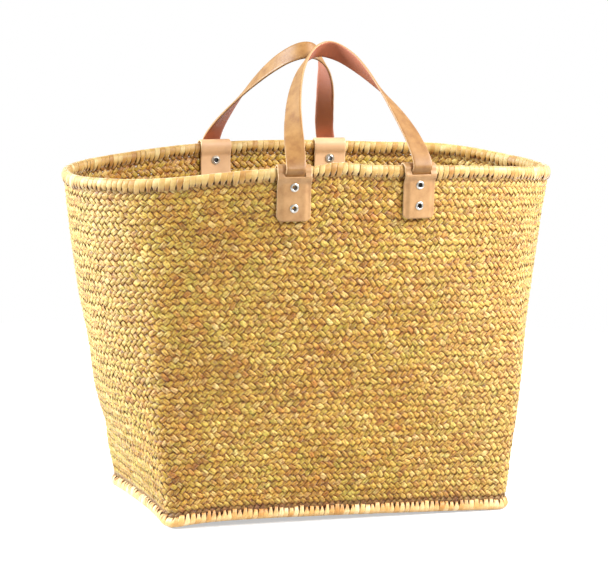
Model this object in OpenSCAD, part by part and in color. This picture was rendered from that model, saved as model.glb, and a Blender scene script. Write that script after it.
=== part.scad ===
// Woven market basket: a plaited tube on a plaited base, whipped round the rim and round the
// base edge, with two leather strap handles held by folded, slotted and eyeletted patches.
// Origin on the floor under the middle of the basket, +X along the mouth, +Z up. Millimetres.

/* [Mouth] */
// Length of the mouth, between the middles of the wall
mouth_l = 494; // [470:2:520]
// Depth of the mouth, between the middles of the wall
mouth_d = 268; // [250:2:290]
// Squareness of the mouth's oval, where 2 is an ellipse
mouth_n = 2.3; // [2:0.1:2.6]
// Height of the rim at its two ends
rim_end_h = 335; // [320:1:360]
// How much higher the rim is at the middle of its long sides
rim_crown = 14; // [6:1:20]

/* [Base] */
// Length of the base, between the middles of the edge roll
base_l = 349; // [330:1:370]
// Depth of the base, between the middles of the edge roll
base_d = 214; // [200:1:230]
// Radius of the base's corners
corner_r = 14; // [12:1:20]

/* [Mat] */
// Thickness of the plaited wall
wall_t = 3.6; // [3:0.1:4]
// Thickness of the plaited base
floor_t = 3.4; // [3:0.1:4]
// Share of the wall's flare that comes low down, where 0 is a straight wall
flare = 0.62; // [0:0.02:0.8]

/* [Bindings] */
// Width of the whipped rim
rim_w = 8.4; // [8:0.1:9]
// Height of the whipped rim
rim_h = 13; // [12.5:0.1:14]
// Diameter of the reed bundle inside the rim
rim_core_d = 5.5; // [5.2:0.1:5.6]
// Diameter of the whipped roll round the base
roll_d = 10; // [9:0.2:11]
// Diameter of the reed bundle inside that roll
roll_core_d = 6; // [5:0.2:6.4]

/* [Leather] */
// Distance from the basket's middle to the middle of each patch
patch_x = 62.5; // [58:0.5:70]
// Width of a patch
patch_w = 33; // [30:1:36]
// How far a patch reaches below the rim
patch_drop = 51; // [48:1:56]
// Thickness of the patch leather
patch_t = 1.6; // [1.4:0.1:1.7]
// Width of the handle strap
strap_w = 19; // [16:0.5:20]
// Thickness of the handle strap
strap_t = 2.2; // [2:0.1:2.3]

/* [Handles] */
// Height of the crown of the handles above the floor
crown_h = 450; // [430:1:470]
// Sideways shift of each handle's crown, opposite on the two handles
crown_shift = 7; // [0:1:10]

/* [Eyelets] */
// Outer diameter of an eyelet's flange
eyelet_d = 8.4; // [8:0.1:9]
// Diameter of the hole through an eyelet
eyelet_hole_d = 4.4; // [4:0.1:4.6]
// Depth of the upper eyelet below the rim
eyelet_top = 18.7; // [18.5:0.1:20]
// Distance between the two eyelets of a patch
eyelet_pitch = 20; // [18:0.5:22]

/* [Hidden] */
SIDES = ["front_left", "front_right", "back_left", "back_right"];
$fn = 48;

straw = "#d8b55e";
reed = "#c49a52";
tan_leather = "#d79a63";
patch_leather = "#d9a878";
nickel = "#c9c8c4";

// --- outlines of the wall ---

// Heights: the roll has a small flat under it, the wall stands on the roll, and the rim's
// reed bundle lies on the wall's top edge.
roll_flat = 0.4;
roll_z = roll_d / 2 - roll_flat;
wall_z0 = roll_z + roll_d / 2 + 0.02;
wall_below_rim = 7.1;
wall_levels = 9;

// Angles round the basket, closer together at the corners of the base
corner_q = atan(base_d / base_l);
end_steps = 6;
side_steps = 9;
spread = 1.6;
quarter = concat(
    [for (i = [0:end_steps - 1]) corner_q * (1 - pow(1 - i / end_steps, spread))],
    [for (i = [0:side_steps]) corner_q + (90 - corner_q) * pow(i / side_steps, spread)]);
half_turn = concat(quarter, [for (i = [len(quarter) - 2:-1:1]) 180 - quarter[i]]);
angles = concat(half_turn, [for (q = half_turn) q + 180]);

// Distance from the middle to an oval, and to a rectangle with round corners, at angle q
function oval_r(a, b, q) =
    pow(pow(abs(cos(q)) / a, mouth_n) + pow(abs(sin(q)) / b, mouth_n), -1 / mouth_n);
function box_r(a, b, r, q) =
    let (c = abs(cos(q)), s = abs(sin(q)), m = c * (a - r) + s * (b - r))
    a * s <= (b - r) * c ? a / c :
    b * c <= (a - r) * s ? b / s :
    m + sqrt(m * m - pow(a - r, 2) - pow(b - r, 2) + r * r);

// Middle of the wall at angle q and share t of its height: a rectangle that widens and
// rounds into the oval mouth
function eased(t) = t + flare * t * (1 - t);
function wall_xy(q, t) =
    let (e = eased(t),
         a = (base_l + (mouth_l - base_l) * e) / 2,
         b = (base_d + (mouth_d - base_d) * e) / 2,
         r = (1 - e) * box_r(a, b, corner_r, q) + e * oval_r(a, b, q))
    [r * cos(q), r * sin(q)];
function wall_normal(q, t) =
    let (d = wall_xy(q + 0.1, t) - wall_xy(q - 0.1, t))
    [d[1], -d[0]] / norm(d);
function crown(q) = rim_crown * (1 - pow(2 * wall_xy(q, 1)[0] / mouth_l, 2));
function rim_z(q) = rim_end_h + crown(q);
function wall_z(q, t) =
    wall_z0 + t * (rim_end_h - wall_below_rim - wall_z0) + t * t * crown(q);

// A point u outwards from the wall's middle and z high, at angle q and share t
function off_wall(q, t, u, z) =
    let (p = wall_xy(q, t) + wall_normal(q, t) * u) [p[0], p[1], z];

// A closed band through equal sections, each a closed outline of 3D points
module band(sections) {
    n = len(sections);
    m = len(sections[0]);
    faces = [for (i = [0:n - 1]) for (j = [0:m - 1])
        let (a = i * m + j, b = i * m + (j + 1) % m,
             c = ((i + 1) % n) * m + (j + 1) % m, d = ((i + 1) % n) * m + j)
        each [[a, b, c], [a, c, d]]];
    polyhedron(points = [for (s = sections) each s], faces = faces);
}

// --- plaited mats ---

module wall_mat() {
    color(straw) band([for (q = angles) concat(
        [for (i = [0:wall_levels])
            off_wall(q, i / wall_levels, -wall_t / 2, wall_z(q, i / wall_levels))],
        [for (i = [wall_levels:-1:0])
            off_wall(q, i / wall_levels, wall_t / 2, wall_z(q, i / wall_levels))])]);
}

// A rectangle with round corners, from squares and circles
module round_rect(l, d, r) {
    square([l - 2 * r, d], center = true);
    square([l, d - 2 * r], center = true);
    for (x = [-1, 1], y = [-1, 1])
        translate([x * (l / 2 - r), y * (d / 2 - r)]) circle(r);
}

module base_mat() {
    inset = roll_d / 2 + 0.05;
    color(straw) translate([0, 0, roll_z - floor_t / 2]) linear_extrude(floor_t)
        round_rect(base_l - 2 * inset, base_d - 2 * inset, corner_r - inset);
}

// --- rim ---

// A round outline of points [outwards, up], by diameters, middle height and end angles
function arc_points(w, h, mid, from, to, n) =
    [for (i = [0:n]) let (g = from + (to - from) * i / n)
        [w / 2 * cos(g), mid + h / 2 * sin(g)]];

core_mid = -(wall_below_rim - 0.05 - rim_core_d / 2);

module rim_band(outline) {
    band([for (q = angles) [for (p = outline) off_wall(q, 1, p[0], rim_z(q) + p[1])]]);
}

module rim_core() {
    sides = 10;
    ring = arc_points(rim_core_d, rim_core_d, core_mid, 0, -360 * (1 - 1 / sides), sides - 1);
    color(reed) rim_band(ring);
}

// The whipping is a sleeve, open below where the wall enters it
module rim_binding() {
    entry = wall_t / 2 + 0.5;
    bore = rim_core_d + 0.5;
    mouth_q = acos(2 * entry / rim_w);
    bore_q = acos(2 * entry / bore);
    outside = arc_points(rim_w, rim_h, -rim_h / 2, 180 + mouth_q, -mouth_q, 13);
    inside = arc_points(bore, bore, core_mid, -bore_q, 180 + bore_q, 8);
    color(straw) rim_band(concat(outside, inside));
}

// --- roll round the base edge ---

// Sweeps a profile round the base outline; its first axis points outwards
module round_base() {
    run_l = base_l - 2 * corner_r;
    run_d = base_d - 2 * corner_r;
    for (turn = [0, 180]) rotate(turn) {
        translate([run_l / 2, -base_d / 2, roll_z]) rotate([90, 0, -90])
            linear_extrude(run_l) mirror([1, 0]) children();
        translate([base_l / 2, run_d / 2, roll_z]) rotate([90, 0, 0])
            linear_extrude(run_d) children();
        for (s = [-1, 1]) translate([run_l / 2, s * run_d / 2, roll_z])
            rotate(s > 0 ? 0 : -90) rotate_extrude(angle = 90)
                translate([corner_r, 0]) children();
    }
}

module base_core() {
    color(reed) round_base() circle(d = roll_core_d - 0.1);
}

module base_binding() {
    color(straw) round_base() difference() {
        intersection() {
            circle(d = roll_d);
            translate([-roll_d, -roll_z]) square([2 * roll_d, 2 * roll_d]);
        }
        circle(d = roll_core_d);
    }
}

// --- patches, in a local frame: +X along the rim, +Y outwards, +Z up, origin on the rim ---

fold_r = 6;
fold_z = -4.3;
slot_z = -3.7;
leaf_y = 5.3;
lining_y = -3.5;
bulge_y = 8.1;
step_top = -8.5;
step_bottom = -14;
patch_lean = 1.8; // degrees, as the wall behind it leans

// Where each patch sits: angle round the wall, from its distance along it
patch_y = mouth_d / 2 * pow(1 - pow(2 * patch_x / mouth_l, mouth_n), 1 / mouth_n);
patch_q = atan2(patch_y, patch_x);
function side_q(k) = [180 + patch_q, -patch_q, 180 - patch_q, patch_q][k];

module on_rim(k) {
    q = side_q(k);
    out = wall_normal(q, 1);
    translate(off_wall(q, 1, 0, rim_z(q))) rotate(atan2(-out[0], out[1]))
        rotate([-patch_lean, 0, 0]) children();
}

// Outline of a bent sheet of thickness t along a path of [outwards, up] points
function path_normal(path, i) =
    let (d = path[min(i + 1, len(path) - 1)] - path[max(i - 1, 0)]) [d[1], -d[0]] / norm(d);
function sheet_outline(path, t) = concat(
    [for (i = [0:len(path) - 1]) path[i] + path_normal(path, i) * t / 2],
    [for (i = [len(path) - 1:-1:0]) path[i] - path_normal(path, i) * t / 2]);

module bent_sheet(path, t, w) {
    rotate([90, 0, 90]) linear_extrude(w, center = true) polygon(sheet_outline(path, t));
}

// Front view of a leather end with round lower corners, as a block through the sheet
module round_end(w, bottom, r) {
    depth = 40;
    top = 12;
    translate([0, depth / 2, 0]) rotate([90, 0, 0]) linear_extrude(depth) {
        translate([-w / 2, bottom + r]) square([w, top - bottom - r]);
        translate([-w / 2 + r, bottom]) square([w - 2 * r, r]);
        for (s = [-1, 1]) translate([s * (w / 2 - r), bottom + r]) circle(r);
    }
}

module at_eyelet(row) {
    translate([0, 0, -eyelet_top - row * eyelet_pitch]) rotate([-90, 0, 0]) children();
}

barrel_d = eyelet_hole_d + 1.2;
module eyelet_holes() {
    for (row = [0, 1]) at_eyelet(row) cylinder(d = barrel_d + 0.1, h = 40, center = true);
}

module patch(k) {
    fold = [for (i = [0:10]) [-fold_r * cos(18 * i), fold_z + fold_r * sin(18 * i)]];
    path = concat(
        [[lining_y, -patch_drop], [lining_y, step_bottom], [-fold_r, step_top]],
        fold,
        [[bulge_y, step_top], [leaf_y, step_bottom], [leaf_y, -patch_drop]]);
    slot_h = 6;
    slot_w = strap_w + 1.2;
    color(patch_leather) on_rim(k) difference() {
        intersection() {
            bent_sheet(path, patch_t, patch_w);
            round_end(patch_w, -patch_drop, 5);
        }
        translate([-slot_w / 2, 2, slot_z - 4.6]) cube([slot_w, 12, slot_h]);
        eyelet_holes();
    }
}

// The strap's end goes in through the slot and lies between the patch and the wall
pivot_y = 10.3;
module strap_end(k) {
    tongue_y = leaf_y - (patch_t + strap_t) / 2 - 0.1;
    path = [[pivot_y - strap_t / 2 - 1.35, slot_z], [7, slot_z - 0.5], [6.2, -5.8],
        [5.8, step_top - 0.1], [tongue_y, step_bottom], [tongue_y, -patch_drop + 4]];
    color(tan_leather) on_rim(k) difference() {
        intersection() {
            bent_sheet(path, strap_t, strap_w);
            round_end(strap_w, -patch_drop + 4, 3);
        }
        eyelet_holes();
    }
}

// --- eyelets and washers, turned about the hole's axis ---

flange_t = 0.9;
washer_t = 0.7;
lip_t = 0.5;
leaf_face = leaf_y + patch_t / 2;
lining_face = lining_y - patch_t / 2;

module eyelet(k, row) {
    hole = eyelet_hole_d / 2;
    inner_end = lining_face - washer_t;
    color(nickel) on_rim(k) at_eyelet(row) rotate_extrude() polygon([
        [hole, inner_end - lip_t], [hole + 1.3, inner_end - lip_t], [hole + 1.3, inner_end],
        [barrel_d / 2, inner_end], [barrel_d / 2, leaf_face], [eyelet_d / 2, leaf_face],
        [eyelet_d / 2, leaf_face + flange_t * 0.4], [hole + 0.9, leaf_face + flange_t],
        [hole + 0.4, leaf_face + flange_t], [hole, leaf_face + flange_t * 0.5]]);
}

module washer(k, row) {
    bore = barrel_d + 0.1;
    color(nickel) on_rim(k) at_eyelet(row) translate([0, 0, lining_face - washer_t])
        difference() {
            cylinder(d = eyelet_d + 1, h = washer_t);
            translate([0, 0, -1]) cylinder(d = bore, h = washer_t + 2);
        }
}

// --- handles ---

// Each loop turns about the line through its two slots, pivot_y out from the wall's middle
pivot = off_wall(side_q(1), 1, pivot_y, rim_z(side_q(1)) + slot_z);
crown_gap = 7.7;
upright_share = 0.1;
loop_steps = 40;

// Share of the lean reached at share h of the height: upright at first, then leaning in
function lean(h) = (h - upright_share * (1 - exp(-h / upright_share))) / (1 - upright_share);
function lean_rate(h) = (1 - exp(-h / upright_share)) / (1 - upright_share);
function loop_h(f) = pow(max(sin(f), 0), 1.52);
function loop_point(f) =
    let (h = loop_h(f), y0 = -pivot[1] - crown_gap)
    [-pivot[0] * cos(f) + crown_shift * h,
     pivot[1] + y0 * lean(h),
     pivot[2] + (crown_h - pivot[2]) * h];

// Outer side of the strap: away from the wall at the slots, upwards at the crown
function loop_tangent(f) =
    f <= 0 ? [0, 0, 1] : f >= 180 ? [0, 0, -1] :
    let (d = loop_point(f + 0.5) - loop_point(f - 0.5)) d / norm(d);
function loop_front(f) =
    let (y = (-pivot[1] - crown_gap) * lean_rate(loop_h(f)), z = crown_h - pivot[2])
    [0, -z, y] / norm([y, z]);
function loop_twist(f) = let (u = min(f, 180 - f) / 90) 90 * u * u * (3 - 2 * u);
function loop_section(f) =
    let (p = loop_point(f), t = loop_tangent(f), b = loop_front(f),
         n = cos(loop_twist(f)) * b + sin(loop_twist(f)) * cross(b, t),
         w = cross(t, n))
    [for (c = [[-1, -1], [1, -1], [1, 1], [-1, 1]])
        p + w * c[0] * strap_w / 2 + n * c[1] * strap_t / 2];

module handle() {
    sections = [for (i = [0:loop_steps]) loop_section(180 * i / loop_steps)];
    last = 4 * loop_steps;
    walls = [for (i = [0:loop_steps - 1]) for (j = [0:3])
        let (a = 4 * i + j, b = 4 * i + (j + 1) % 4)
        each [[a, a + 4, b + 4], [a, b + 4, b]]];
    ends = [[0, 1, 2, 3], [last + 3, last + 2, last + 1, last]];
    color(tan_leather) polyhedron(
        points = [for (s = sections) each s], faces = concat(walls, ends));
}

module front_handle() { handle(); }
module back_handle() { rotate(180) handle(); }

wall_mat();
base_mat();
rim_core();
rim_binding();
base_core();
base_binding();
front_handle();
back_handle();
for (k = [0:3]) {
    patch(k);
    strap_end(k);
    eyelet(k, 0);
    eyelet(k, 1);
    washer(k, 0);
    washer(k, 1);
}
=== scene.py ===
"""Looks of the woven market basket: plaited straw strands, whipped rim and base roll,
leather straps and patches with eyelets, floor, light and camera. Metres, in the CAD frame."""
import math
import bpy
import numpy as np
from mathutils import Matrix, Vector


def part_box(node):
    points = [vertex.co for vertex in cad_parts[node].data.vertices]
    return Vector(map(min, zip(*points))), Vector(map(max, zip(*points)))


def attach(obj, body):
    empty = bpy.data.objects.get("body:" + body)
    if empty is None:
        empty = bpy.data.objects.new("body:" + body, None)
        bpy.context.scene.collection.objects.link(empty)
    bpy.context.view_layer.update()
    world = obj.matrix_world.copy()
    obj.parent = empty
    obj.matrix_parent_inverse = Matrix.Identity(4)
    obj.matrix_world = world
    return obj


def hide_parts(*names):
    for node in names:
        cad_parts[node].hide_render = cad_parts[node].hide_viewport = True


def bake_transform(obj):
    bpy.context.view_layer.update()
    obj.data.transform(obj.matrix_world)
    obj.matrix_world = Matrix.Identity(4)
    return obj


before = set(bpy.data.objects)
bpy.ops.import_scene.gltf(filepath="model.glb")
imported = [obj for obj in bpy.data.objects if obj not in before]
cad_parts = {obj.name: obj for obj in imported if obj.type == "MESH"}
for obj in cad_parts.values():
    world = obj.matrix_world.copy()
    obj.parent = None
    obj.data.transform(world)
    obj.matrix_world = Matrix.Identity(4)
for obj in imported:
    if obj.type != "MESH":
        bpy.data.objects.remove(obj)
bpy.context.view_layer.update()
rng = np.random.default_rng(31)
MM = 0.001
TAU = 2 * math.pi

# --- sizes, from the CAD nodes where a box gives them ---

RIM_CORE_D = 0.0055
ROLL_CORE_D = 0.0059
ROLL_D = 0.010


def extent(node):
    low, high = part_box(node)
    return high - low


MOUTH_L = extent("rim_core").x - RIM_CORE_D
MOUTH_D = extent("rim_core").y - RIM_CORE_D
BASE_L = extent("base_core").x - ROLL_CORE_D
BASE_D = extent("base_core").y - ROLL_CORE_D
RIM_CROWN = 0.014
RIM_END_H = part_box("rim_binding")[1].z - RIM_CROWN
RIM_W = 0.0084
RIM_H = 0.013
ROLL_Z = 0.0046

# the wall: squareness of its mouth, corners of its foot, share of its flare that comes low down
MOUTH_N = 2.3
CORNER_R = 0.014
FLARE = 0.62
WALL_Z0 = 0.00962
WALL_BELOW_RIM = 0.0071

# leather, with the slot and the hinge line measured from the rim above the patch
PATCH_X = 0.0625
PATCH_W = 0.033
PATCH_T = 0.0016
PATCH_LEAN = math.radians(1.8)
STRAP_W = 0.019
STRAP_T = 0.0022
PIVOT_OUT = 0.0103
SLOT_Z = -0.0037
CROWN_GAP = 0.0077
UPRIGHT_SHARE = 0.1
HOLE_R = 0.0028

# eyelets, down from the rim
EYELET_TOP = 0.0187
EYELET_PITCH = 0.020
EYELET_ROWS = [-EYELET_TOP, -EYELET_TOP - EYELET_PITCH]
EYELET_D = 0.0084
EYELET_HOLE = 0.0044
SIDES = ["front_left", "front_right", "back_left", "back_right"]


# --- the wall's middle surface ---

def oval_r(a, b, q):
    """Distance from the middle to the mouth's outline at angle q."""
    return ((np.abs(np.cos(q)) / a) ** MOUTH_N + (np.abs(np.sin(q)) / b) ** MOUTH_N) ** (-1 / MOUTH_N)


def box_r(a, b, r, q):
    """Distance from the middle to a rectangle with corners of radius r, at angle q."""
    c = np.abs(np.cos(q))
    s = np.abs(np.sin(q))
    m = c * (a - r) + s * (b - r)
    corner = m + np.sqrt(np.maximum(m * m - (a - r) ** 2 - (b - r) ** 2 + r * r, 0))
    flat_end = a / np.maximum(c, 1e-9)
    flat_side = b / np.maximum(s, 1e-9)
    return np.where(a * s <= (b - r) * c, flat_end, np.where(b * c <= (a - r) * s, flat_side, corner))


def wall_xy(q, t):
    """The wall's middle surface from above, at angle q and share t of the height."""
    e = t + FLARE * t * (1 - t)
    a = (BASE_L + (MOUTH_L - BASE_L) * e) / 2
    b = (BASE_D + (MOUTH_D - BASE_D) * e) / 2
    r = (1 - e) * box_r(a, b, CORNER_R, q) + e * oval_r(a, b, q)
    return np.stack([r * np.cos(q), r * np.sin(q)], -1)


def crown(q):
    return RIM_CROWN * (1 - (2 * wall_xy(q, 1.0)[..., 0] / MOUTH_L) ** 2)


def wall_z(q, t):
    return WALL_Z0 + t * (RIM_END_H - WALL_BELOW_RIM - WALL_Z0) + t * t * crown(q)


def unit(v):
    return v / np.maximum(np.linalg.norm(v, axis=-1, keepdims=True), 1e-12)


def running(points, power=1):
    """The length run along a line of points, or the running sum of a power of its gaps."""
    gaps = np.linalg.norm(np.diff(points, axis=0), axis=1)
    return np.concatenate([[0], np.cumsum(gaps ** power)])


def even_angles(outline, count):
    """Angles that step evenly along a closed outline, from the middle of the right end."""
    q = np.linspace(0, TAU, 7201)
    run = running(outline(q))
    return np.interp(np.linspace(0, run[-1], count + 1), run, q), run[-1]


def hump(x, middle, width):
    return np.exp(-((x - middle) / width) ** 2)


def ease(x):
    x = np.clip(x, 0, 1)
    return x * x * (3 - 2 * x)


def rim_sag(x, y):
    """How far the soft rim rises or sinks along its length; almost nothing at the patches."""
    front = -4.9 * hump(x, -0.190, 0.066) + 3.4 * hump(x, -0.018, 0.021)
    back = 4.4 * hump(x, 0.188, 0.055) - 2.0 * hump(x, -0.170, 0.070)
    side = ease(0.5 + y / 0.07)
    return (front * (1 - side) + back * side) * MM


def base_arch(x, y):
    """How far the base edge arches off the floor between the corners, which stay on it."""
    u = np.clip(x / BASE_L + 0.5, 0, 1)
    v = np.clip(y / BASE_D + 0.5, 0, 1)
    front = 6.4 * (1 - np.exp(-u / 0.075)) * (1 - u ** 1.7)
    back = 3.0 * (1 - (2 * u - 1) ** 2)
    left = 6.4 * (1 - np.exp(-v / 0.13)) * (1 - v ** 2.4)
    right = 3.0 * (1 - (2 * v - 1) ** 2)
    lengthwise = np.where(v < 0.5, front, back)
    crosswise = np.where(u < 0.5, left, right)
    return np.where(np.abs(u - 0.5) > np.abs(v - 0.5), crosswise, lengthwise) * MM


def wall_push(q, t):
    """How the ends leave the CAD shape: the right one leans in, the left one bulges low down."""
    at_right = ease((np.cos(q) - 0.80) / 0.2)
    at_left = ease((-np.cos(q) - 0.80) / 0.2)
    right = -(4.4 + 2.4 * ease((1 - t) / 0.15)) * ease((t - 0.22) / 0.45) * at_right
    left = 3.6 * hump(t, 0.32, 0.16) * at_left
    return (right + left) * MM


LEVELS = 120
COLUMNS = 1024


def wall_grid():
    """Places and outward normals of the wall's middle surface, level by level."""
    places = np.zeros((LEVELS + 1, COLUMNS + 1, 3))
    for i in range(LEVELS + 1):
        t = i / LEVELS
        q = even_angles(lambda a: wall_xy(a, t), COLUMNS)[0]
        xy = wall_xy(q, t)
        places[i, :, :2] = xy + unit(xy) * wall_push(q, t)[:, None]
        foot = wall_xy(q, 0.0)
        lift = rim_sag(xy[:, 0], xy[:, 1]) * t ** 3 + base_arch(foot[:, 0], foot[:, 1]) * (1 - t) ** 3
        places[i, :, 2] = wall_z(q, t) + lift
    along = np.roll(places[:, :-1], -1, 1) - np.roll(places[:, :-1], 1, 1)
    along = np.concatenate([along, along[:, :1]], 1)
    up = np.gradient(places, axis=0)
    return places, unit(np.cross(along, up))


GRID, GRID_N = wall_grid()


def sample(grid, s, t):
    """Bilinear reading of a wall grid at share s round (wrapping) and share t of the height."""
    col = (s % 1.0) * COLUMNS
    row = np.clip(t, 0, 1) * LEVELS
    c0 = np.minimum(col.astype(int), COLUMNS - 1)
    r0 = np.minimum(row.astype(int), LEVELS - 1)
    fc = (col - c0)[..., None]
    fr = (row - r0)[..., None]
    low = grid[r0, c0] * (1 - fc) + grid[r0, c0 + 1] * fc
    high = grid[r0 + 1, c0] * (1 - fc) + grid[r0 + 1, c0 + 1] * fc
    return low * (1 - fr) + high * fr


# --- plaiting: two sets of strands, each over two and under two of the other ---

STRANDS = 172
ROWS = 108
RISE = 0.92 * MM
HALF_T = 0.78 * MM
# Length in mm from one crossing to the next, for the material's grain only.
CROSSING = 4.6


def waves(count, low, high, size):
    """Functions of place along a strand, each a sum of slow waves with its own phases."""
    rate = rng.uniform(low, high, (count, 3))
    phase = rng.uniform(0, TAU, (count, 3))
    return lambda i, p: size * np.sin(p[:, None] * rate[i] + phase[i]).sum(-1) / 2


def float_lift(p):
    """From 1 on top of the other set to -1 beneath it, every four crossings."""
    return np.tanh(0.9 * np.cos(TAU * (p - 0.5) / 4)) / math.tanh(0.9)


CHANCES = rng.uniform(0, 1, (1024, 128))


def float_chance(k, p):
    """One number for each stretch of a strand between two dives."""
    return CHANCES[k % 1024, ((p + 4.5) // 2).astype(int) % 128]


def dent(s, t):
    """Slow hollows and swells of the soft wall, none near its bound edges."""
    a = np.sin(TAU * (3 * s + 0.9 * t + 0.1)) + np.sin(TAU * (5 * s - 1.7 * t + 0.43))
    b = np.sin(TAU * (8 * s + 2.6 * t + 0.77)) + np.sin(TAU * (13 * s - 3.3 * t + 0.2))
    hold = np.clip(t / 0.15, 0, 1) * np.clip((0.80 - t) / 0.22, 0, 1)
    return (0.8 * a + 0.35 * b) * MM * hold * hold * (3 - 2 * hold)


def drift(s, t):
    """How far the rows wander, as shares of the way round and of the height."""
    a = np.sin(TAU * (17 * s + 2.1 * t)) + 0.8 * np.sin(TAU * (29 * s - 4.3 * t + 0.3))
    b = np.sin(TAU * (23 * s + 1.3 * t + 0.2)) + 0.7 * np.sin(TAU * (41 * s - 3.7 * t + 0.6))
    hold = ease(t / 0.12) * ease((1 - t) / 0.12)
    return 0.12 * hold * a / STRANDS, 0.28 * hold * b / ROWS


SECTION = 8
THETA = np.arange(SECTION) * TAU / SECTION
# Added to the strand numbers of the set that leans left, so that the material tells the sets apart and
# paints painted shade on the set leaning right.
LEFT_SET = 300.7


def lens(half_w, half_t):
    """Section of a strand: across and through, for each ring."""
    across = half_w[:, None] * np.cos(THETA)
    through = half_t[:, None] * np.sign(np.sin(THETA)) * np.abs(np.sin(THETA)) ** 0.85
    return across, through


def groove(through, depth):
    """Lets the middle of a strand's faces sink, as two blades laid side by side."""
    through = through.copy()
    through[:, [2, 6]] *= 1 - depth[:, None]
    return through


def marks(p, lift, height, across, edge, strand, chance):
    """What the straw's material reads at each point of a strand."""
    def rings(values):
        return np.repeat(values[:, None], SECTION, 1)

    return {
        "height": height / MM,
        "dive": 1 - rings(np.abs(lift)),
        "edge": edge,
        "along": rings(p) * CROSSING,
        "across": across,
        "strand": np.full(across.shape, strand),
        "chance": rings(chance),
    }


def wall_strand(way, k, p, wobble, swell, tilt):
    """Rings of one strand of the wall; way is 1 for the set leaning right and -1 for left."""
    lift = way * float_lift(p)
    chance = float_chance(k + 500, p)
    width = (0.475 + 0.055 * np.abs(lift)) * (1 + swell(k, p)) * (0.88 + 0.22 * chance)
    plump = HALF_T * (0.74 + (0.12 + 0.42 * chance) * np.abs(lift))
    across, through = lens(width, plump * (1 + swell(k, p)))
    through = groove(through, 0.15 + 0.65 * float_chance(k + 211, p))
    through = through + tilt(k, p)[:, None] * HALF_T * np.cos(THETA)
    across = across + wobble(k, p)[:, None] + 0.030 * rng.normal(0, 1, across.shape)
    through = through + 0.13 * MM * rng.normal(0, 1, across.shape)
    u = 2 * k + way * p[:, None] - across
    v = p[:, None] + way * across
    s = u / (2 * STRANDS)
    t = v / ROWS
    along, up = drift(s, t)
    s = s + along
    t = t + up
    height = RISE * lift[:, None] + through
    place = sample(GRID, s, t)
    place[..., 2] += np.minimum(t, 0) * 0.32
    place = place + sample(GRID_N, s, t) * (height + dent(s, t))[..., None]
    edge = np.minimum(t * ROWS, (1 - t) * ROWS)
    strand = k * 1.37 + (0 if way > 0 else LEFT_SET)
    return place, marks(p, lift, height, across, edge, strand, float_chance(k, p))


# --- meshes out of strands ---

def show(name, data):
    """A new object in the scene."""
    piece = bpy.data.objects.new(name, data)
    bpy.context.scene.collection.objects.link(piece)
    return piece


def grid_quads(i, after, sides):
    """Faces between sections i and after, each a closed outline of as many points as sides."""
    j = np.arange(sides)[None]
    beside = (j + 1) % sides
    corners = [i * sides + j, i * sides + beside, after * sides + beside, after * sides + j]
    return np.stack(corners, -1).reshape(-1, 4)


def quads_of(rings, sides):
    """Side faces of a tube and, as quads, its two ends."""
    i = np.arange(rings - 1)[:, None]
    side = grid_quads(i, i + 1, sides)
    half = sides // 2
    cap = [[a, a + 1, sides - a - 2, sides - a - 1] for a in range(half - 1)]
    start = np.array(cap)[:, ::-1]
    end = np.array(cap) + (rings - 1) * sides
    return side, np.concatenate([start, end])


def strip_uv(rings, sides, strip, strips, columns):
    """Bake layout: each strand is its own strip, along it and round it."""
    rows = math.ceil(strips / columns)
    col = strip % columns
    row = strip // columns
    i = np.arange(rings - 1)[:, None]
    j = np.arange(sides)[None, :]

    def place(a, b):
        u = (col + 0.01 + 0.98 * a / (rings - 1) + 0 * b) / columns
        v = (row + 0.06 + 0.88 * b / sides + 0 * a) / rows
        return np.stack([u, v], -1)

    side = np.stack([place(i, j), place(i, j + 1), place(i + 1, j + 1), place(i + 1, j)], 2)
    ends = []
    for at in (0.0, rings - 1.0):
        for a in range(sides // 2 - 1):
            spot = [place(np.array(at), np.array(float(b))) for b in (a, a + 0.5, a + 0.5, a)]
            ends.append(np.stack(spot))
    return np.concatenate([side.reshape(-1, 8), np.array(ends).reshape(-1, 8)])


def mesh_piece(name, verts, faces, data, uv):
    mesh = bpy.data.meshes.new(name)
    mesh.vertices.add(len(verts))
    mesh.vertices.foreach_set("co", np.asarray(verts, np.float32).ravel())
    mesh.loops.add(faces.size)
    mesh.loops.foreach_set("vertex_index", faces.astype(np.int32).ravel())
    mesh.polygons.add(len(faces))
    mesh.polygons.foreach_set("loop_start", np.arange(0, faces.size, 4, dtype=np.int32))
    mesh.polygons.foreach_set("use_smooth", np.ones(len(faces), bool))
    mesh.update(calc_edges=True)
    for key, values in data.items():
        layer = mesh.attributes.new(key, "FLOAT", "POINT")
        layer.data.foreach_set("value", np.asarray(values, np.float32).ravel())
    if uv is not None:
        layer = mesh.uv_layers.new(name="OFBake")
        layer.data.foreach_set("uv", np.asarray(uv, np.float32).ravel())
    mesh.validate()
    return show(name, mesh)


def strands_piece(name, strands, columns=1):
    """One piece from many strands, each (places, data) with its own number of rings."""
    verts = []
    faces = []
    uvs = []
    data = {}
    first = 0
    for n, (place, extra) in enumerate(strands):
        rings, sides = place.shape[:2]
        side, ends = quads_of(rings, sides)
        verts.append(place.reshape(-1, 3))
        faces.append(np.concatenate([side, ends]) + first)
        uvs.append(strip_uv(rings, sides, n, len(strands), columns))
        for key, values in extra.items():
            data.setdefault(key, []).append(values.ravel())
        first += rings * sides
    data = {key: np.concatenate(values) for key, values in data.items()}
    return mesh_piece(name, np.concatenate(verts), np.concatenate(faces), data, np.concatenate(uvs))


def finish_piece(piece, material, slot, *nodes):
    """Gives a piece its material, hides the CAD nodes it replaces and puts it on its body in the frame;
    slot is not used.
    """
    piece.data.materials.append(material)
    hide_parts(*nodes)
    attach(piece, "basket")


# --- local frames on the rim ---

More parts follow.
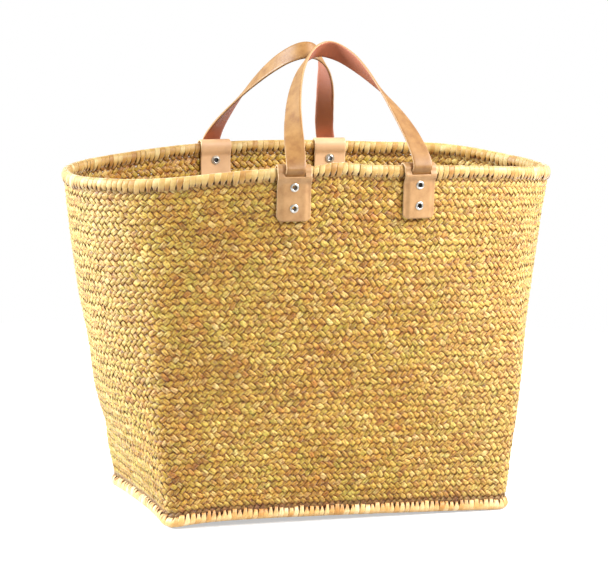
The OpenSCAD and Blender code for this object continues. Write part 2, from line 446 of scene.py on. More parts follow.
def side_angle(k):
    """Angle on the mouth's outline of patch k, in the order of SIDES."""
    y = MOUTH_D / 2 * (1 - (2 * PATCH_X / MOUTH_L) ** MOUTH_N) ** (1 / MOUTH_N)
    q = math.atan2(y, PATCH_X)
    return [math.pi + q, -q, math.pi - q, q][k]


def rim_normal(q):
    d = wall_xy(np.array(q + 1e-3), 1.0) - wall_xy(np.array(q - 1e-3), 1.0)
    return unit(np.array([d[1], -d[0]]))


def rim_frame(k):
    """Origin on the rim above patch k, and columns along the rim, outwards and up."""
    q = side_angle(k)
    out = rim_normal(q)
    x_axis = np.array([-out[1], out[0], 0])
    y_axis = np.array([out[0], out[1], 0])
    z_axis = np.array([0, 0, 1.0])
    c = math.cos(PATCH_LEAN)
    s = math.sin(PATCH_LEAN)
    turned = np.stack([x_axis, y_axis * c - z_axis * s, y_axis * s + z_axis * c], 1)
    origin = np.array([*wall_xy(np.array(q), 1.0), RIM_END_H + crown(np.array(q))])
    return origin, turned


RIM_FRAMES = [rim_frame(k) for k in range(4)]


def on_rim(k, points):
    origin, axes = RIM_FRAMES[k]
    return origin + np.asarray(points) @ axes.T


# --- wall and base ---

EYELET_CLEAR = 4.9 * MM


def eyelet_spots():
    """Places on the wall's middle surface where the eyelets pass."""
    flat = GRID.reshape(-1, 3)
    spots = []
    for k in range(4):
        for z in EYELET_ROWS:
            at = on_rim(k, [0, 0, z])
            nearest = np.argmin(((flat - at) ** 2).sum(-1))
            spots.append(flat[nearest])
    return np.array(spots)


def clear_runs(place, spots):
    """Stretches of a strand that stay clear of every eyelet."""
    middle = place.mean(1)
    gap = np.linalg.norm(middle[:, None] - spots[None], axis=-1).min(1)
    keep = gap > EYELET_CLEAR
    edges = np.flatnonzero(np.diff(np.concatenate([[0], keep.astype(int), [0]])))
    return [(a, b) for a, b in edges.reshape(-1, 2) if b - a > 3]


def build_wall(material):
    spots = eyelet_spots()
    p = np.arange(-1.0, ROWS + 0.6, 0.5)
    group = STRANDS // 4
    for way, label in ((1, "right"), (-1, "left")):
        wobble = waves(STRANDS, 0.1, 1.7, 0.07)
        swell = waves(STRANDS, 0.3, 2.4, 0.11)
        tilt = waves(STRANDS, 0.4, 1.6, 0.42)
        for g in range(4):
            strands = []
            for k in range(g * group, (g + 1) * group):
                place, data = wall_strand(way, k, p, wobble, swell, tilt)
                for a, b in clear_runs(place, spots):
                    strands.append((place[a:b], {key: v[a:b] for key, v in data.items()}))
            piece = strands_piece(f"wall_strands_{label}_{g + 1}", strands)
            finish_piece(piece, material, "plaited_straw", "wall_mat")


BASE_INSET = 0.0022
BASE_STEP_X = 3.43 * MM
BASE_STEP_Y = 3.2 * MM


def base_room(x, y):
    """How far inside the base's outline a point lies."""
    half_l = BASE_L / 2 - BASE_INSET
    half_d = BASE_D / 2 - BASE_INSET
    r = CORNER_R - BASE_INSET
    dx = np.maximum(np.abs(x) - half_l + r, 0)
    dy = np.maximum(np.abs(y) - half_d + r, 0)
    inner = np.minimum(np.maximum(np.abs(x) - half_l + r, np.abs(y) - half_d + r), 0)
    return r - np.hypot(dx, dy) - inner


def base_strand(way, k, n, p, wobble, swell):
    """Rings of one strand of the base, at the crossings p that lie inside its outline."""
    lift = way * float_lift(p)
    across, through = lens(0.46 + 0.03 * np.abs(lift), HALF_T * (0.75 + 0.25 * np.abs(lift)))
    across = across * (1 + swell(n, p))[:, None] + wobble(n, p)[:, None]
    height = 0.8 * MM * lift[:, None] + through
    x = (2 * k + way * p[:, None] - across) * BASE_STEP_X
    y = (p[:, None] + way * across) * BASE_STEP_Y
    edge = np.clip(base_room(x, y) / MM, 0, 99)
    arch = base_arch(x, y) * ease(1 - base_room(x, y) / 0.05)
    strand = n * 1.37 + 700 + way * 40
    data = marks(p, lift, height, across, edge, strand, float_chance(n + 300, p))
    return np.stack([x, y, ROLL_Z + height + arch], -1), data


def build_base(material):
    reach = int(BASE_L / 2 / BASE_STEP_X + BASE_D / 2 / BASE_STEP_Y) + 4
    for way, label in ((1, "right"), (-1, "left")):
        count = 2 * reach
        wobble = waves(count, 0.05, 0.5, 0.03)
        swell = waves(count, 0.1, 0.9, 0.05)
        strands = []
        for n in range(count):
            k = n - reach
            p = np.arange(-reach, reach, 0.5)
            room = base_room((2 * k + way * p) * BASE_STEP_X, p * BASE_STEP_Y)
            inside = np.flatnonzero(room > 0)
            if len(inside) >= 6:
                strands.append(base_strand(way, k, n, p[inside], wobble, swell))
        piece = strands_piece(f"base_strands_{label}", strands)
        finish_piece(piece, material, "plaited_straw", "base_mat")


# --- whipping round the rim and round the base roll ---

OUTLINE_STEPS = 4096
# Length in mm of one turn of strand, for the material's grain only.
TURN_LENGTH = 38


def whip(count, steps, outline, section, half_w, half_t, pinch):
    """Turns of strand round a bundle: outline gives place and outward direction at a share of
    the way round, section gives outwards and up at an angle of the turn, and pinch says how
    narrow the strand is there."""
    turns = []
    lean = rng.normal(0, 0.05, count + 1)
    wide = rng.normal(1, 0.07, count)
    thick = rng.normal(1, 0.10, count)
    sunk = rng.uniform(0.1, 0.8, count)
    for n in range(count):
        f = np.arange(steps + 1) / steps
        share = (n + f + lean[n] * (1 - f) + lean[n + 1] * f) / count
        angle = TAU * (f + 0.25)
        narrow = pinch(angle, n)[:, None]
        across = half_w * wide[n] * np.cos(THETA)[None, :] * narrow
        through = half_t * thick[n] * np.sign(np.sin(THETA)) * np.abs(np.sin(THETA)) ** 0.8
        through = groove(np.repeat(through[None], steps + 1, 0), sunk[n] + 0.15 * np.sin(9 * f + n))
        out, up = section(angle[:, None], n, through)
        base, normal = outline(share[:, None] - across)
        place = base.copy()
        place[..., :2] += normal * out[..., None]
        place[..., 2] += up
        shape = place.shape[:2]
        data = {
            "height": through / MM,
            "along": np.broadcast_to(f[:, None] * TURN_LENGTH, shape),
            "across": np.broadcast_to(np.cos(THETA), shape),
            "strand": np.full(shape, n * 1.61 + 0.3),
            "pinch": np.broadcast_to(narrow, shape),
        }
        turns.append((place, data))
    return turns


def whip_pieces(name, turns, node, material):
    half = len(turns) // 2
    for label, part in (("back", turns[:half]), ("front", turns[half:])):
        piece = strands_piece(f"{name}_{label}", part, 4)
        finish_piece(piece, material, "whipping_strand", node)


def outline_reader(xy, level):
    """Reads place and outward direction at a share of the way round a closed outline, whose
    height level gives for a step along it and the place there."""
    d = np.gradient(xy, axis=0)
    normal = unit(np.stack([d[:, 1], -d[:, 0]], -1))
    steps = np.arange(len(xy))

    def read(share):
        at = (share % 1.0) * steps[-1]
        place = np.stack([np.interp(at, steps, xy[:, i]) for i in range(2)], -1)
        out = np.stack([np.interp(at, steps, normal[:, i]) for i in range(2)], -1)
        return np.concatenate([place, level(at, place)[..., None]], -1), out

    return read


def rim_outline():
    q, run = even_angles(lambda a: wall_xy(a, 1.0), OUTLINE_STEPS)
    xy = wall_xy(q, 1.0)
    z = RIM_END_H + crown(q) + rim_sag(xy[:, 0], xy[:, 1])
    pushed = xy + unit(xy) * wall_push(q, 1.0)[:, None]
    return outline_reader(pushed, lambda at, _: np.interp(at, np.arange(len(z)), z)), run


def base_outline():
    q, run = even_angles(lambda a: wall_xy(a, 0.0), OUTLINE_STEPS)
    arched = outline_reader(wall_xy(q, 0.0), lambda _, at: ROLL_Z + base_arch(at[..., 0], at[..., 1]))
    return arched, run


def reed_bundle(name, outline, middle, spread, radius, material, node):
    """Four reeds laid together along an outline, slowly changing places."""
    share = np.arange(721) / 720
    turn = np.arange(8) * TAU / 8
    reeds = []
    for n in range(4):
        base, normal = outline(share)
        angle = TAU * (n / 4 + 3 * share) + 0.3 * np.sin(TAU * 7 * share + n)
        out = spread * np.cos(angle)[:, None] + radius * np.cos(turn)[None]
        up = middle + spread * np.sin(angle)[:, None] + radius * np.sin(turn)[None]
        place = np.repeat(base[:, None], 8, 1)
        place[..., :2] += normal[:, None] * out[..., None]
        place[..., 2] += up
        reeds.append((place, {"along": np.repeat(share[:, None], 8, 1) * 1200}))
    piece = strands_piece(name, reeds)
    finish_piece(piece, material, "reed", node)


def build_rim(material, core_material):
    outline, run = rim_outline()
    count = round(run / 0.0058)
    half_w = 0.53 / count
    tail = rng.uniform(-0.0012, 0.0016, count)
    tip = rng.uniform(0.52, 0.92, count)

    def section(angle, n, through):
        low = ease(-np.sin(angle) * 1.2)
        out = (RIM_W / 2 - 0.0006 + through) * np.cos(angle)
        up = -RIM_H / 2 + (RIM_H / 2 - 0.0006 + through) * np.sin(angle) - tail[n] * low
        return out, up

    def pinch(angle, n):
        return 1.06 - (1.06 - tip[n]) * ease(-np.sin(angle) * 1.1 + 0.15)

    turns = whip(count, 28, outline, section, half_w, 0.50 * MM, pinch)
    whip_pieces("rim_whipping", turns, "rim_binding", material)
    middle = -(WALL_BELOW_RIM - RIM_CORE_D / 2)
    reed_bundle("rim_reeds", outline, middle, 1.3 * MM, 1.35 * MM, core_material, "rim_core")


def build_roll(material, core_material):
    outline, run = base_outline()
    count = round(run / 0.0052)
    half_w = 0.52 / count
    tooth = rng.uniform(0.0002, 0.0026, count)
    tip = rng.uniform(0.45, 0.95, count)

    def section(angle, n, through):
        r = ROLL_D / 2 - 0.00055 + through
        out = r * np.cos(angle)
        up = r * np.sin(angle) + tooth[n] * ease(np.sin(angle) * 1.1)
        up = np.maximum(up, 0.0001 + (0.00055 - through) * 0.4 - ROLL_Z)
        return out, up

    def pinch(angle, n):
        return 1.06 - (1.06 - tip[n]) * ease(np.sin(angle) * 1.1 + 0.05)

    turns = whip(count, 24, outline, section, half_w, 0.48 * MM, pinch)
    whip_pieces("roll_whipping", turns, "base_binding", material)
    reed_bundle("roll_reeds", outline, 0.0, 1.45 * MM, 1.4 * MM, core_material, "base_core")


# --- leather: bands swept along smooth lines ---

def between(x, a, b, at_a, at_b):
    return (b - x) / (b - a) * at_a + (x - a) / (b - a) * at_b


def smooth_line(points, step):
    """Points every step along a smooth curve through the given points."""
    points = np.asarray(points, float)
    ends = np.concatenate([[2 * points[0] - points[1]], points, [2 * points[-1] - points[-2]]])
    knots = running(ends, 0.5)
    fine = []
    for i in range(1, len(ends) - 2):
        k = knots[i - 1:i + 3]
        p = ends[i - 1:i + 3]
        x = np.linspace(k[1], k[2], 17)[:-1, None]
        a = [between(x, k[j], k[j + 1], p[j], p[j + 1]) for j in range(3)]
        b = [between(x, k[j], k[j + 2], a[j], a[j + 1]) for j in range(2)]
        fine.append(between(x, k[1], k[2], b[0], b[1]))
    fine = np.concatenate(fine + [points[-1:]])
    run = running(fine[:, :3])
    count = max(int(run[-1] / step), 4)
    at = np.linspace(0, run[-1], count + 1)
    return np.stack([np.interp(at, run, fine[:, i]) for i in range(fine.shape[1])], -1), at


def band_section(columns, bevel):
    """Outline of a flat band: across from -1 to 1 on the face, back again on the reverse.
    Gives across, the share of the thickness, the inset at the edge and a mark for the edge."""
    x = np.linspace(-1, 1, columns)
    face = [(a, 1.0, bevel if abs(a) == 1 else 0.0, 0.0) for a in x]
    side = [(1.0, 0.62, bevel * 0.18, 1.0), (1.0, 0.0, 0.0, 1.0), (1.0, -0.62, bevel * 0.18, 1.0)]
    back = [(-a, -1.0, bevel if abs(a) == 1 else 0.0, 0.0) for a in x]
    other = [(-1.0, -0.62, bevel * 0.18, 1.0), (-1.0, 0.0, 0.0, 1.0), (-1.0, 0.62, bevel * 0.18, 1.0)]
    return np.array(face[::-1] + other[::-1] + back[::-1] + side[::-1])


def band_rings(line, along, across_dir, half_w, half_t, section, lift=None):
    """Rings of a band; across_dir is the band's width direction at each point of the line, and
    lift moves the band outwards by place across and along."""
    tangent = unit(np.gradient(line, axis=0))
    wide = unit(across_dir - (across_dir * tangent).sum(-1, keepdims=True) * tangent)
    out = np.cross(wide, tangent)
    a, share, inset, mark = section.T
    width = a[None] * half_w[:, None] - np.sign(a)[None] * inset[None]
    depth = share[None] * half_t[:, None]
    if lift is not None:
        depth = depth + lift(width, along[:, None])
    place = line[:, None] + wide[:, None] * width[..., None] + out[:, None] * depth[..., None]
    data = {
        "along": np.broadcast_to(along[:, None] / MM, width.shape),
        "across": width / MM,
        "rim": np.broadcast_to(mark, width.shape),
        "face": np.broadcast_to(np.where(mark > 0, 0, share), width.shape),
    }
    return place, data


def round_ends(along, half_w, radius, tip):
    """Half widths and thickness shares of a band with round corners at both ends."""
    d = np.minimum(along, along[-1] - along)
    inside = np.clip(radius - d, 0, radius)
    width = half_w - radius + np.sqrt(np.maximum(radius ** 2 - inside ** 2, 0))
    return width, np.clip(0.45 + 0.55 * d / tip, 0.45, 1)


# --- straps ---

# A strap's end, outwards and up from the rim (mm): flat on the wall, then out through the slot.
TONGUE = [(3.25, -47), (3.25, -40), (3.25, -30), (3.25, -22), (3.28, -16), (3.9, -12.6), (5.1, -10.0),
          (5.85, -8.2), (6.5, -6.3), (7.7, -4.9), (9.0, -3.7), (9.95, -1.9)]


def lean(h):
    """How far a leg has leant inwards at share h of its height: hardly at first, then evenly."""
    return (h - UPRIGHT_SHARE * (1 - np.exp(-h / UPRIGHT_SHARE))) / (1 - UPRIGHT_SHARE)


def lean_rate(h):
    return (1 - np.exp(-h / UPRIGHT_SHARE)) / (1 - UPRIGHT_SHARE)


def pivot_point():
    """The hinge line's end above the right patch, mirrored for the left one."""
    q = side_angle(1)
    xy = wall_xy(np.array(q), 1.0) + rim_normal(q) * PIVOT_OUT
    return np.array([xy[0], xy[1], RIM_END_H + crown(np.array(q)) + SLOT_Z])


PIVOT = pivot_point()


# The two handles are slack leather, so each hangs a little differently: crown height, how
# full the legs are, sideways shift of the crown, and then for the left and the right leg how
# far it bows sideways and inwards (mm) and how its twist runs early and late.
LOOPS = {
    "front": {"top": 0.4510, "power": 1.48, "shift": 8.6, "bow": (-0.4, 3.1), "inward": (-0.5, -5.2),
              "early": (0.12, -0.03), "late": (-0.20, 0.25)},
    "back": {"top": 0.4492, "power": 1.58, "shift": 4.4, "bow": (6.3, 1.9), "inward": (-2.0, -1.0),
             "early": (-0.10, 0.07), "late": (0.02, -0.07)},
}


def by_leg(f, pair):
    return np.where(f < math.pi / 2, pair[0], pair[1])


def loop_height(f, shape):
    return np.maximum(np.sin(f), 0) ** shape["power"]


def loop_point(f, shape):
    h = loop_height(f, shape)
    bell = 4 * h * (1 - h) * MM
    x = -PIVOT[0] * np.cos(f) + shape["shift"] * MM * h * h + by_leg(f, shape["bow"]) * bell
    y = PIVOT[1] + (-PIVOT[1] - CROWN_GAP) * lean(h) + by_leg(f, shape["inward"]) * bell
    z = PIVOT[2] + (shape["top"] - PIVOT[2]) * h
    return np.stack([x, y, z], -1)


def loop_wide(f, shape):
    """Width direction of the strap: level at the slots, turned a quarter at the crown."""
    tangent = unit(loop_point(f + 0.004, shape) - loop_point(f - 0.004, shape))
    y = (-PIVOT[1] - CROWN_GAP) * lean_rate(loop_height(f, shape))
    z = np.full_like(y, shape["top"] - PIVOT[2])
    front = unit(np.stack([0 * y, -z, y], -1))
    u = np.minimum(f, math.pi - f) / (math.pi / 2)
    early = by_leg(f, shape["early"]) * 16 * u * u * (1 - u) ** 2
    late = by_leg(f, shape["late"]) * 8 * u * u * (1 - u) * (2 * u - 1)
    twist = (math.pi / 2) * (u * u * (3 - 2 * u) + early + late)
    n = np.cos(twist)[:, None] * front + np.sin(twist)[:, None] * np.cross(front, tangent)
    return unit(np.cross(tangent, n))


def strap_line(shape):
    """Places and width directions along a strap, from one tongue's end to the other's."""
    tongue = np.array([[0, y, z] for y, z in TONGUE]) * MM
    left = on_rim(0, tongue)
    right = on_rim(1, tongue)[::-1]
    degrees = [np.linspace(4, 30, 14), np.linspace(33, 147, 58), np.linspace(150, 176, 14)]
    f = np.radians(np.concatenate(degrees))
    loop = loop_point(f, shape)
    wide_left = np.repeat(RIM_FRAMES[0][1][:, 0][None], len(left), 0)
    wide_right = -np.repeat(RIM_FRAMES[1][1][:, 0][None], len(right), 0)
    for i in range(5):
        turn = (i + 1) / 6
        wide_left[-5 + i] = unit(wide_left[-5 + i] * (1 - turn) + np.array([1.0, 0, 0]) * turn)
        wide_right[4 - i] = unit(wide_right[4 - i] * (1 - turn) - np.array([1.0, 0, 0]) * turn)
    points = np.concatenate([left, loop, right])
    wides = np.concatenate([wide_left, loop_wide(f, shape), wide_right])
    return np.concatenate([points, wides], -1)


def strap_band(shape):
    table, along = smooth_line(strap_line(shape), 1.25 * MM)
    width, share = round_ends(along, STRAP_W / 2, 0.003, 0.0006)
    soft = 1 + 0.012 * np.sin(along * 90) + 0.008 * np.sin(along * 231 + 1)
    return band_rings(table[:, :3], along, table[:, 3:], width * soft, share * STRAP_T / 2,
                      band_section(9, 0.00045))


def build_straps(material):
    for name, turn, ends in (("front", 1, (0, 1)), ("back", -1, (2, 3))):
        place, data = strap_band(LOOPS[name])
        turned = place * np.array([turn, turn, 1])
        extra = {**data, "along": data["along"] + (0 if turn > 0 else 900)}
        piece = strands_piece(f"{name}_strap", [(turned, extra)])
        for k in ends:
            cut(piece, eyelet_cutters(k))
        piece.data.materials.append(material)
        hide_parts(f"{name}_handle", *[f"strap_end_{SIDES[k]}" for k in ends])
        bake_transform(piece)


# --- patches ---

FOLD_R = 6.0
FOLD_Z = -4.3


def patch_path():
    """Line of a patch from its inner end over the rim to its outer end, outwards and up."""
    inner = [(-3.5, -51), (-3.5, -40), (-3.5, -28), (-3.5, -18), (-3.9, -13.6), (-5.4, -9.6), (-5.95, -6.8)]
    fold = [(-FOLD_R * math.cos(math.radians(a)), FOLD_Z + FOLD_R * math.sin(math.radians(a)))
            for a in range(0, 180, 20)]
    outer = [(6.3, -5.6), (7.4, -7.4), (7.9, -9.2), (7.0, -11.6), (5.7, -14.2), (5.3, -18), (5.3, -28),
             (5.3, -40), (5.3, -51)]
    return [(0, y, z) for y, z in inner + fold + outer]


def hug(width, height):
    """How far the patch's outer leaf sinks towards the wall beside the strap's tongue."""
    beside = np.clip((np.abs(width) - 0.0102) / 0.0042, 0, 1)
    below = np.clip((-0.012 - height) / 0.006, 0, 1)
    return -0.0017 * beside * beside * (3 - 2 * beside) * below


def prism(k, outline, y0, y1):
    """A cutter through patch k: an outline of (x, z) points from y0 to y1 outwards."""
    n = len(outline)
    near = on_rim(k, [[x, y0, z] for x, z in outline])
    far = on_rim(k, [[x, y1, z] for x, z in outline])
    faces = [tuple(range(n - 1, -1, -1)), tuple(range(n, 2 * n))]
    faces += [(i, (i + 1) % n, (i + 1) % n + n, i + n) for i in range(n)]
    mesh = bpy.data.meshes.new("cutter")
    mesh.from_pydata([tuple(v) for v in [*near, *far]], [], faces)
    return show("cutter", mesh)


def slot_outline():
    """The strap's slot in a patch: a long hole with round corners."""
    half = STRAP_W / 2 + 0.0006
    low, high, r = -0.0083, -0.0023, 0.0009
    corners = [
        (half - r, high - r, 0),
        (-half + r, high - r, 90),
        (-half + r, low + r, 180),
        (half - r, low + r, 270),
    ]
    return [(x + r * math.cos(math.radians(a + s)), z + r * math.sin(math.radians(a + s)))
            for x, z, a in corners for s in (0, 30, 60, 90)]


def ring_outline(z, radius):
    return [(radius * math.cos(TAU * i / 28), z + radius * math.sin(TAU * i / 28)) for i in range(28)]


def eyelet_cutters(k):
    return [prism(k, ring_outline(z, HOLE_R), -0.02, 0.02) for z in EYELET_ROWS]


def cut(piece, tools):
    """Cuts the tools out of a piece, one after another, and deletes them."""
    for tool in tools:
        hole = piece.modifiers.new("hole", "BOOLEAN")
        hole.operation = "DIFFERENCE"
        hole.solver = "EXACT"
        hole.object = tool
        bpy.context.view_layer.objects.active = piece
        with bpy.context.temp_override(object=piece, active_object=piece):
            bpy.ops.object.modifier_apply(modifier="hole")
        bpy.data.objects.remove(tool)


def build_patches(material):
    table, along = smooth_line(np.array(patch_path()) * MM, 1.0 * MM)
    width, share = round_ends(along, PATCH_W / 2, 0.005, 0.0006)
    wide = np.repeat(np.array([[1.0, 0, 0]]), len(table), 0)
    section = band_section(23, 0.0004)
    outer = along > along[-1] / 2

    def lift(across, _):
        sink = hug(across, table[:, 2][:, None])
        return np.where(outer[:, None], sink, 0)

    place, data = band_rings(table, along, wide, width, share * PATCH_T / 2, section, lift)
    # inner marks the leaf inside the basket, which the material paints lighter as painted light.
    inner = np.broadcast_to(np.where(outer, 0.0, 1.0)[:, None], place.shape[:2])
    for k, side in enumerate(SIDES):
        extra = {**data, "along": data["along"] + 300 * k, "inner": inner}
        piece = strands_piece(f"leather_patch_{side}", [(on_rim(k, place), extra)])
        piece.data.uv_layers.remove(piece.data.uv_layers["OFBake"])
        cut(piece, [prism(k, slot_outline(), 0.0035, 0.014)] + eyelet_cutters(k))
        finish_piece(piece, material, "patch_leather", f"patch_{side}")


# --- eyelets ---

def eyelet_profile():
    """Radius and place outwards, round the eyelet's section: over the flange, in through the
    bore, round the inner lip and back along the outside of the barrel."""
    r = EYELET_HOLE / 2 / MM
    edge = EYELET_D / 2 / MM
    out = 6.1
    flange = [(edge - 0.15, out), (edge, out + 0.16), (edge - 0.12, out + 0.42), (3.55, out + 0.74),
              (3.05, out + 0.9), (2.6, out + 0.86), (2.3, out + 0.62), (r, out + 0.1)]
    barrel = [(r, out - 1.0), (r, 0.0), (r, -4.5), (r + 0.1, -5.2), (r + 0.5, -5.5), (r + 1.0, -5.45),
              (r + 1.25, -5.1), (2.8, -5.0), (2.8, 0.0), (2.8, out)]
    return np.array(flange + barrel) * MM


def build_eyelets(material):
    profile = eyelet_profile()
    turn = np.arange(48) * TAU / 48
    i = np.arange(len(turn))[:, None]
    faces = grid_quads(i, (i + 1) % len(turn), len(profile))
    x = profile[None, :, 0] * np.cos(turn)[:, None]
    y = np.broadcast_to(profile[None, :, 1], x.shape)
    # bore marks the inside of the tube, which the material paints dark as painted shade.
    in_bore = (profile[:, 1] < 0.0058) & (profile[:, 0] < 0.0024)
    bore = np.broadcast_to(in_bore, x.shape).astype(float)
    for k, side in enumerate(SIDES):
        for middle, label in zip(EYELET_ROWS, ("upper", "lower")):
            z = middle + profile[None, :, 0] * np.sin(turn)[:, None]
            place = on_rim(k, np.stack([x, y, z], -1))
            name = f"eyelet_{side}_{label}"
            piece = mesh_piece(f"nickel_{name}", place.reshape(-1, 3), faces, {"bore": bore}, None)
            finish_piece(piece, material, "nickel", name)


def dress_washers(material):
    for side in SIDES:
        for label in ("upper", "lower"):
            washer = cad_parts[f"washer_{side}_{label}"]
            washer.data.materials.clear()
            washer.data.materials.append(material)


# --- materials ---

class Graph:
    """A small helper that adds nodes to one material and joins them."""

    def __init__(self, name):
        self.material = bpy.data.materials.new(name)
        self.material.use_nodes = True
        self.tree = self.material.node_tree
        self.shader = self.tree.nodes["Principled BSDF"]

    def add(self, kind, inputs=None, **settings):
        node = self.tree.nodes.new(kind)
        for key, value in settings.items():
            setattr(node, key, value)
        for key, value in (inputs or {}).items():
            self.put(node.inputs[key], value)
        return node

    def put(self, socket, value):
        if isinstance(value, bpy.types.NodeSocket):
            self.tree.links.new(value, socket)
        else:
            socket.default_value = value

    def read(self, name):
        return self.add("ShaderNodeAttribute", attribute_name=name).outputs["Fac"]

    def math(self, operation, a, b=0.0, clamp=False):
        node = self.add("ShaderNodeMath", operation=operation, use_clamp=clamp)
        self.put(node.inputs[0], a)
        self.put(node.inputs[1], b)
        return node.outputs[0]

    def times(self, a, b):
        return self.math("MULTIPLY", a, b)

    def range(self, value, low, high, to_low=0.0, to_high=1.0):
        node = self.add("ShaderNodeMapRange", {"Value": value, "From Min": low, "From Max": high,
                                               "To Min": to_low, "To Max": to_high})
        return node.outputs["Result"]

    def place(self, x, y, z):
        return self.add("ShaderNodeCombineXYZ", {"X": x, "Y": y, "Z": z}).outputs[0]

    def noise(self, vector, scale, detail=2.0, rough=0.5):
        node = self.add("ShaderNodeTexNoise", {"Vector": vector, "Scale": scale, "Detail": detail,
                                               "Roughness": rough})
        return node.outputs["Fac"]

    def ramp(self, value, stops):
        node = self.add("ShaderNodeValToRGB", {"Fac": value})
        points = node.color_ramp.elements
        while len(points) < len(stops):
            points.new(0.5)
        for point, (at, colour) in zip(points, stops):
            point.position = at
            point.color = (*colour, 1)
        return node.outputs["Color"]

    def mix(self, kind, share, a, b):
        node = self.add("ShaderNodeMix", data_type="RGBA", blend_type=kind)
        self.put(node.inputs[0], share)
        self.put(node.inputs[6], a if isinstance(a, bpy.types.NodeSocket) else (*a, 1))
        self.put(node.inputs[7], b if isinstance(b, bpy.types.NodeSocket) else (*b, 1))
        return node.outputs[2]

    def shade(self, share, colour, value, low, high, stops):
        """Multiplies a colour by a ramp of the value between low and high."""
        return self.mix("MULTIPLY", share, colour, self.ramp(self.range(value, low, high), stops))

    def bump(self, height, strength, distance):
        node = self.add("ShaderNodeBump", {"Height": height, "Strength": strength, "Distance": distance})
        return node.outputs["Normal"]

    def finish(self, colour, rough, normal, **fixed):
        self.put(self.shader.inputs["Base Color"], colour)
        self.put(self.shader.inputs["Roughness"], rough)
        if normal is not None:
            self.put(self.shader.inputs["Normal"], normal)
        for key, value in fixed.items():
            self.shader.inputs[key.replace("_", " ")].default_value = value
        return self.material


def linear(r, g, b):
    """A colour given as it looks on screen, as the shader takes it."""
    return tuple(((c / 255 + 0.055) / 1.055) ** 2.4 if c > 10 else c / 3294.6 for c in (r, g, b))


WHITE = (1.0, 1.0, 1.0)


def straw_tones(g, place, slow):
    """The straw's colours: slow clouds, one tone for each float, and a painted highlight that makes both
    ends paler, as side light washes them out.
    """
    cloud = g.noise(place, 16.0, 3.0, 0.6)
    tone = g.math("ADD", g.times(cloud, 0.55), g.times(slow, 0.45))
    base = g.ramp(g.range(tone, 0.32, 0.68), [
        (0.0, linear(196, 144, 56)), (0.35, linear(214, 173, 73)),
        (0.65, linear(228, 198, 94)), (1.0, linear(240, 220, 128))])
    each = g.ramp(g.read("chance"), [
        (0.0, linear(126, 78, 40)), (0.06, linear(190, 112, 56)), (0.12, linear(226, 170, 84)),
        (0.30, linear(166, 154, 54)), (0.44, linear(208, 176, 76)), (0.72, linear(224, 196, 98)),
        (0.88, linear(244, 222, 146)), (1.0, linear(250, 232, 186))])
    lengthwise = g.add("ShaderNodeSeparateXYZ", {"Vector": place}).outputs["X"]
    # Painted highlight: both ends are mixed towards pale straw, standing in for the side light that washes
    # them out.
    right_end = g.range(lengthwise, 0.05, 0.21)
    left_end = g.range(lengthwise, -0.19, -0.23)
    painted_end_highlight = g.times(g.math("ADD", right_end, left_end), 0.36)
    return g.mix("MIX", painted_end_highlight, g.mix("MIX", 0.42, base, each), linear(248, 228, 166))


def straw_wear_and_groove_shade(g, colour, place, across, slow, fibre, grit):
    """Stains, blotches, streaks along the fibre and grit, with painted shade in the groove down the middle
    of each strand.
    """
    patchy = g.shade(0.75, colour, g.noise(place, 85.0, 3.0, 0.65), 0.3, 0.7, [
        (0.0, (0.72, 0.46, 0.32)), (0.28, (1.0, 0.88, 0.74)), (0.55, WHITE), (1.0, (0.72, 0.84, 0.58))])
    blotched = g.shade(0.8, patchy, g.noise(place, 210.0, 2.0, 0.6), 0.34, 0.66, [
        (0.0, (0.62, 0.44, 0.34)), (0.35, (0.94, 0.88, 0.80)), (0.7, WHITE), (1.0, (0.98, 0.98, 0.82))])
    streaked = g.shade(0.75, blotched, fibre, 0.36, 0.64, [
        (0.0, (0.56, 0.46, 0.36)), (0.5, (0.90, 0.86, 0.78)), (1.0, WHITE)])
    # Painted shade: a dark line down each strand's middle groove, where shade falls between its two blades.
    wander = g.times(g.math("SUBTRACT", slow, 0.5), 0.9)
    middle = g.range(g.math("ABSOLUTE", g.math("SUBTRACT", across, wander)), 0.03, 0.17, 1.0, 0.0)
    groove_shade = g.times(middle, g.range(g.noise(place, 140.0, 2.0), 0.40, 0.56, 0.0, 0.9))
    groove_shaded = g.mix("MULTIPLY", groove_shade, streaked, (0.58, 0.44, 0.30))
    return g.shade(0.8, groove_shaded, grit, 0.38, 0.62, [
        (0.0, (0.46, 0.34, 0.26)), (0.4, (0.86, 0.82, 0.74)), (1.0, WHITE)])


def straw_painted_shade(g, colour, strand, grit):
    """Painted shade where a strand dives and sits low, painted shade on the set leaning right, and a
    painted shadow along the bound edges under the rim and above the base roll.
    """
    # Painted shade: strands darken where they dive under the other set and where their surface lies low,
    # standing in for the shade in the gaps.
    sunk = g.math("ADD", g.read("dive"), g.range(grit, 0.35, 0.65, 0.22, -0.22))
    low = g.range(g.math("ABSOLUTE", g.read("height")), 1.2, 0.1, 0.0, 0.40)
    gap_shaded = g.mix("MULTIPLY", 1.0, colour, g.ramp(g.math("ADD", g.times(sunk, 0.85), low), [
        (0.0, WHITE), (0.35, (0.94, 0.89, 0.78)), (0.65, (0.76, 0.62, 0.40)), (1.0, (0.44, 0.29, 0.12))]))
    # Painted shade: the set leaning right is darkened a little, standing in for the light that falls on the
    # two sets unevenly.
    right_set = g.range(strand, 290.0, 300.0, 1.0, 0.0)
    crossing = g.mix("MULTIPLY", right_set, gap_shaded, (0.93, 0.91, 0.88))
    # Painted shadow: a dark band along the wall's bound edges, where shade falls under the rim and above
    # the base roll.
    painted_edge_shadow = g.range(g.read("edge"), 0.4, 3.2, 0.8, 0.0)
    return g.mix("MIX", painted_edge_shadow, crossing, linear(92, 50, 34))


